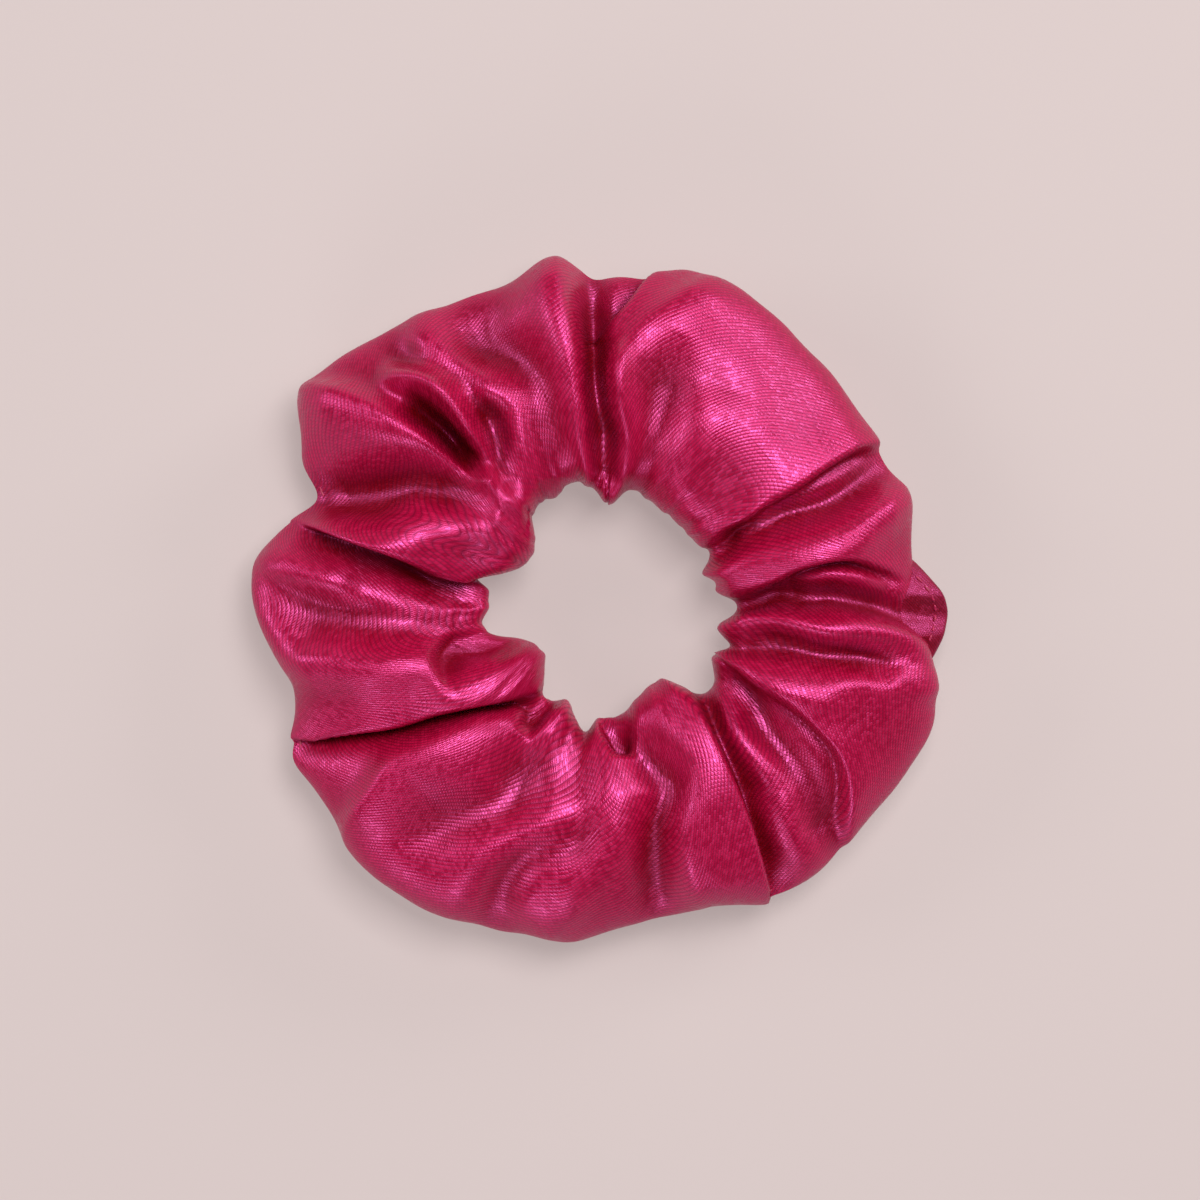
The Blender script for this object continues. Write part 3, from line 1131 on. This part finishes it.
# %% [markdown]
# ## The closing seam
# One end of the tube is turned in and laid over the other. Its stitches run inside, along the turned edge.

# %% Stitches of the closing seam
SEAM_ANGLE = 31.5
UNDER_SATIN = 1.3
CLOSING_THICK = 0.35
# Every stitch starts this many rows after the last one, and is this many rows long.
CLOSING_PITCH, CLOSING_LONG = 6, 4
# The stitches stay between the band and the seam's allowance.
CLOSING_FROM, CLOSING_TO = 24, 47
seam_column = round(SEAM_ANGLE * COLUMNS / 360)
column = cover_points.reshape(COLUMNS, ROWS, 3)[seam_column]
outwards = vertex_normals(cover_points, quads).reshape(COLUMNS, ROWS, 3)[seam_column]
inside = column - outwards * UNDER_SATIN
column_radius = np.hypot(column[:, 0], column[:, 1])
in_walls = (column_radius > CLOSING_FROM) & (column_radius < CLOSING_TO)
closing = [(inside[k], inside[k + CLOSING_LONG]) for k in range(0, ROWS - 5, CLOSING_PITCH)
           if in_walls[k] and in_walls[k + CLOSING_LONG]]
stands_for(soft_piece("closing_stitches", *thread_run(closing, CLOSING_THICK), thread, "thread"),
           "cross_seam_stitches")

# %% [markdown]
# ## The stitched ridge
# The gap through which the tube was turned is closed from outside: its two edges are pressed flat together and
# stitched near the fold. It stands out as a small flat ridge on the outer wall.

# %% The ridge
# The ridge's edge: a few angles, with the radius that it reaches there.
RIDGE_EDGE = [(-13, 52.6), (-10, 54.2), (-6, 55.5), (-2, 56), (1, 55.2), (4, 53), (7, 50.9), (9, 49.3)]
# The radius of its foot inside the outer wall, its height there, and how far its edge hangs lower.
RIDGE_FOOT, RIDGE_HEIGHT, RIDGE_DROOP = 48, 9.3, 3.2
# Where between foot and edge the ridge starts to hang.
DROOP_FROM = 0.3
RIDGE_STEPS, RIDGE_CORNERS = 90, 24
RIDGE_HALF_THICK = 0.55
PUCKER, PUCKERS, PUCKER_WIDTH = 0.07, 150, 0.2
# Ribs and floats are counted along the ridge at this radius.
RIDGE_RADIUS = 52


def stitched_ridge():
    """A doubled flap, rounded at its edge. Returns points, quads, thread counts, angles, edge and lift."""
    at, reach = zip(*RIDGE_EDGE)
    steps, corners = RIDGE_STEPS, RIDGE_CORNERS
    along = np.linspace(at[0], at[-1], steps)
    edge = np.interp(along, at, reach)
    edge = np.convolve(np.pad(edge, 4, mode="edge"), np.ones(9) / 9, "valid")
    lift = RIDGE_HEIGHT + 0.5 * np.sin(np.radians(along) * 34) + 0.3 * np.sin(np.radians(along) * 61 + 1)
    a = 2 * math.pi * np.arange(corners) / corners
    out = 0.5 + 0.5 * np.cos(a)
    thick = np.sign(np.sin(a)) * np.abs(np.sin(a)) ** 0.5 * RIDGE_HALF_THICK
    radius = RIDGE_FOOT + (edge - RIDGE_FOOT)[:, None] * out[None]
    pucker = PUCKER * np.sin(np.radians(along) * PUCKERS)[:, None]
    pucker = pucker * np.exp(-((out - 0.5) / PUCKER_WIDTH) ** 2)[None]
    z = lift[:, None] + thick[None] + pucker * np.sign(thick)[None] - RIDGE_DROOP * (out[None] - DROOP_FROM)
    t = np.radians(along)[:, None]
    points = np.stack([radius * np.cos(t), radius * np.sin(t), z], -1).reshape(-1, 3)
    c, r = np.meshgrid(np.arange(steps - 1), np.arange(corners), indexing="ij")
    above = (r + 1) % corners
    faces = np.stack([c * corners + r, (c + 1) * corners + r, (c + 1) * corners + above, c * corners + above], -1)
    faces = faces.reshape(-1, 4)
    round_way = t * RIDGE_RADIUS
    counts = np.stack([np.broadcast_to(round_way, radius.shape) + radius, radius - round_way], -1).reshape(-1, 2)
    return points, faces, counts[faces] / RIB_SPACING, along, edge, lift


points, faces, threads, ridge_angle, ridge_edge, ridge_lift = stitched_ridge()
stands_for(soft_piece("stitched_ridge", points, faces, satin, "satin", threads, np.full(len(points), 1.0)),
           "closing_ridge")

# %% Its topstitches
TOPSTITCHES = 9
# The first stitch, the distance from one stitch to the next, and the length of one, all in degrees.
TOP_FROM, TOP_PITCH, TOP_LONG = -10.5, 1.7, 1.2
# How far in from the edge the stitches lie, and how far above the ridge's middle.
TOP_IN, TOP_UP = 2, 0.62


def on_the_ridge(at):
    """Where a topstitch starts or ends, at an angle."""
    radius = np.interp(at, ridge_angle, ridge_edge) - TOP_IN
    share = (radius - RIDGE_FOOT) / (radius + TOP_IN - RIDGE_FOOT)
    height = np.interp(at, ridge_angle, ridge_lift) + TOP_UP - RIDGE_DROOP * (share - DROOP_FROM)
    return round_place(at, radius, height)


starts = [TOP_FROM + k * TOP_PITCH for k in range(TOPSTITCHES)]
topstitches = [(on_the_ridge(at), on_the_ridge(at + TOP_LONG)) for at in starts]
stands_for(soft_piece("topstitches", *thread_run(topstitches), thread, "thread"), "closing_ridge_stitches")
